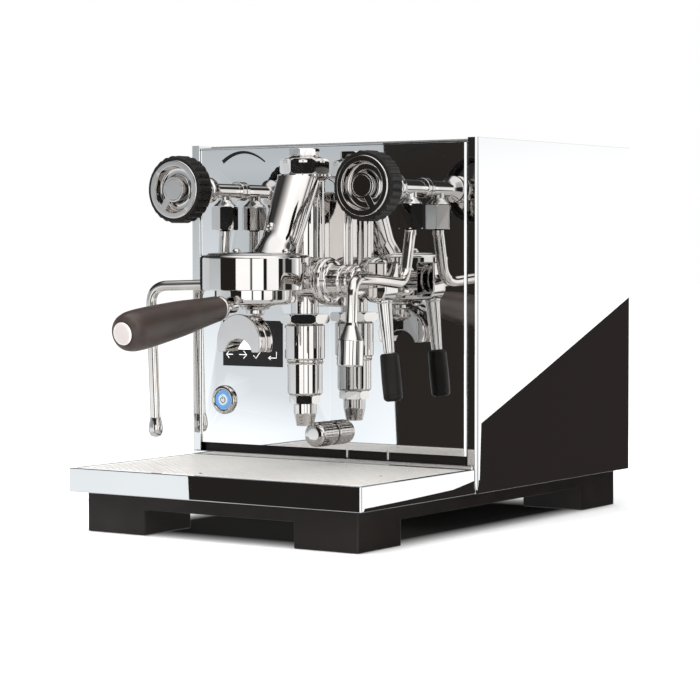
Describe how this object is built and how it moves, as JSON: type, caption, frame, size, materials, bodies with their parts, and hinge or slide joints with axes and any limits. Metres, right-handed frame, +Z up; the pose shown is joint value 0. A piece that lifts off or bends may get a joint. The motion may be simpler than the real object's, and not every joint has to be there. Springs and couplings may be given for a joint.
{
  "type": "espresso machine",
  "caption": "Espresso machine with a lever brew group, portafilter with double spout, steam and hot water taps with wands, and a slide-out drip tray.",
  "frame": {"origin": "middle of the bottom of the whole object's box, on the floor; the casing's middle plane lies at x = 12.9 mm because the steam wand stands out on the left, and the casing's front face lies at y = 3.8 mm", "axes": "x to the machine's right as seen from the front, y from the front to the back, z up"},
  "size_m": [0.3287, 0.5608, 0.334],
  "materials": {
    "mirror_steel": "mirror-polished stainless steel sheet",
    "brushed_steel": "brushed stainless steel",
    "chrome": "polished chrome on brass, and polished steel pipe",
    "black_plastic": "satin black moulded plastic",
    "black_glass": "glossy black display cover with a lit window and touch keys",
    "rubber": "black seal rubber",
    "copper": "plain copper sheet and pipe",
    "brass": "turned brass",
    "painted_steel": "grey painted steel",
    "clear_plastic": "clear smoky tank plastic"
  },
  "bodies": {
    "root": {"base_frame": "black_plastic", "chassis_floor": "painted_steel", "front_rail": "black_plastic", "left_side_panel": "mirror_steel", "right_side_panel": "mirror_steel", "front_panel": "mirror_steel", "rear_panel": "brushed_steel", "top_cover": "mirror_steel", "boiler_shell": "copper", "boiler_end_plate": "brass", "heating_element": "chrome", "boiler_bracket": "painted_steel", "vibration_pump": "black_plastic", "control_box": "black_plastic", "fill_solenoid_valve": "black_plastic", "safety_valve": "brass", "steam_supply_pipe": "copper", "water_supply_pipe": "copper", "upper_thermosyphon_pipe": "copper", "lower_thermosyphon_pipe": "copper", "power_inlet": "black_plastic", "group_body": "chrome", "group_cap_nut": "chrome", "group_gasket": "rubber", "shower_screen": "brushed_steel", "lever_gland": "chrome", "infusion_nut": "chrome", "infusion_cylinder": "chrome", "drain_nozzle": "chrome", "steam_valve_body": "chrome", "water_valve_body": "chrome", "steam_wand_nut": "chrome", "water_wand_nut": "chrome", "display_glass": "black_glass", "power_button_bezel": "chrome"},
    "cup_tray": {"cup_tray": "brushed_steel"},
    "water_tank": {"water_tank": "clear_plastic"},
    "tank_lid": {"tank_lid": "brushed_steel"},
    "drip_tray": {"drip_tray": "mirror_steel"},
    "drip_grate": {"drip_grate": "brushed_steel"},
    "portafilter": {"portafilter_body": "chrome", "portafilter_handle": "black_plastic", "handle_end_cap": "chrome", "filter_basket": "brushed_steel", "double_spout": "chrome"},
    "brew_lever": {"brew_lever_hub": "chrome", "brew_lever_rod": "chrome", "brew_lever_grip": "black_plastic"},
    "steam_knob": {"steam_knob_grip": "black_plastic", "steam_knob_face": "chrome"},
    "water_knob": {"water_knob_grip": "black_plastic", "water_knob_face": "chrome"},
    "steam_ball": {"steam_ball_seat": "rubber"},
    "steam_wand": {"steam_wand": "chrome", "steam_wand_tip": "chrome"},
    "water_ball": {"water_ball_seat": "rubber"},
    "water_wand": {"water_wand": "chrome", "water_wand_nozzle": "chrome"},
    "power_button": {"power_button_cap": "brushed_steel"},
    "pressure_knob": {"pressure_knob": "chrome"}
  },
  "joints": [
    {"name": "cup_tray_lift", "type": "slide", "parent": "root", "child": "cup_tray", "axis": [0, 0, 1], "range_m": [0, 0.12]},
    {"name": "water_tank_lift", "type": "slide", "parent": "root", "child": "water_tank", "axis": [0, 0, 1], "range_m": [0, 0.31]},
    {"name": "tank_lid_flip", "type": "hinge", "parent": "water_tank", "child": "tank_lid", "pos_m": [0.01286, 0.27078, 0.3326], "axis": [-1, 0, 0], "range_deg": [0, 100]},
    {"name": "drip_tray_slide", "type": "slide", "parent": "root", "child": "drip_tray", "axis": [0, -1, 0], "range_m": [0, 0.17]},
    {"name": "drip_grate_lift", "type": "slide", "parent": "drip_tray", "child": "drip_grate", "axis": [0, 0, 1], "range_m": [0, 0.012]},
    {"name": "portafilter_turn", "type": "hinge", "parent": "root", "child": "portafilter", "pos_m": [0.01286, -0.10372, 0.205], "axis": [0, 0, -1], "range_deg": [0, 55]},
    {"name": "brew_lever_turn", "type": "hinge", "parent": "root", "child": "brew_lever", "pos_m": [0.08456, -0.03222, 0.213], "axis": [-1, 0, 0], "range_deg": [0, 70]},
    {"name": "steam_knob_turn", "type": "hinge", "parent": "root", "child": "steam_knob", "pos_m": [-0.08514, -0.08922, 0.292], "axis": [0, -1, 0], "range_deg": [0, 300]},
    {"name": "water_knob_turn", "type": "hinge", "parent": "root", "child": "water_knob", "pos_m": [0.11086, -0.08922, 0.292], "axis": [0, -1, 0], "range_deg": [0, 300]},
    {"name": "steam_wand_swivel", "type": "hinge", "parent": "root", "child": "steam_ball", "pos_m": [-0.08514, -0.01622, 0.264], "axis": [0, 0, 1], "range_deg": [0, 80]},
    {"name": "steam_wand_tilt", "type": "hinge", "parent": "steam_ball", "child": "steam_wand", "pos_m": [-0.08514, -0.01622, 0.264], "axis": [0, 1, 0], "range_deg": [0, 10]},
    {"name": "water_wand_swivel", "type": "hinge", "parent": "root", "child": "water_ball", "pos_m": [0.11086, -0.01622, 0.264], "axis": [0, 0, 1], "range_deg": [0, 80]},
    {"name": "water_wand_tilt", "type": "hinge", "parent": "water_ball", "child": "water_wand", "pos_m": [0.11086, -0.01622, 0.264], "axis": [-1, 0, 0], "range_deg": [0, 10]},
    {"name": "power_button_press", "type": "slide", "parent": "root", "child": "power_button", "axis": [0, 1, 0], "range_m": [0, 0.0018], "stiffness_N_per_m": 600},
    {"name": "pressure_knob_turn", "type": "hinge", "parent": "root", "child": "pressure_knob", "pos_m": [0.01286, -0.02022, 0.079], "axis": [0, -1, 0], "range_deg": [0, 270]}
  ]
}
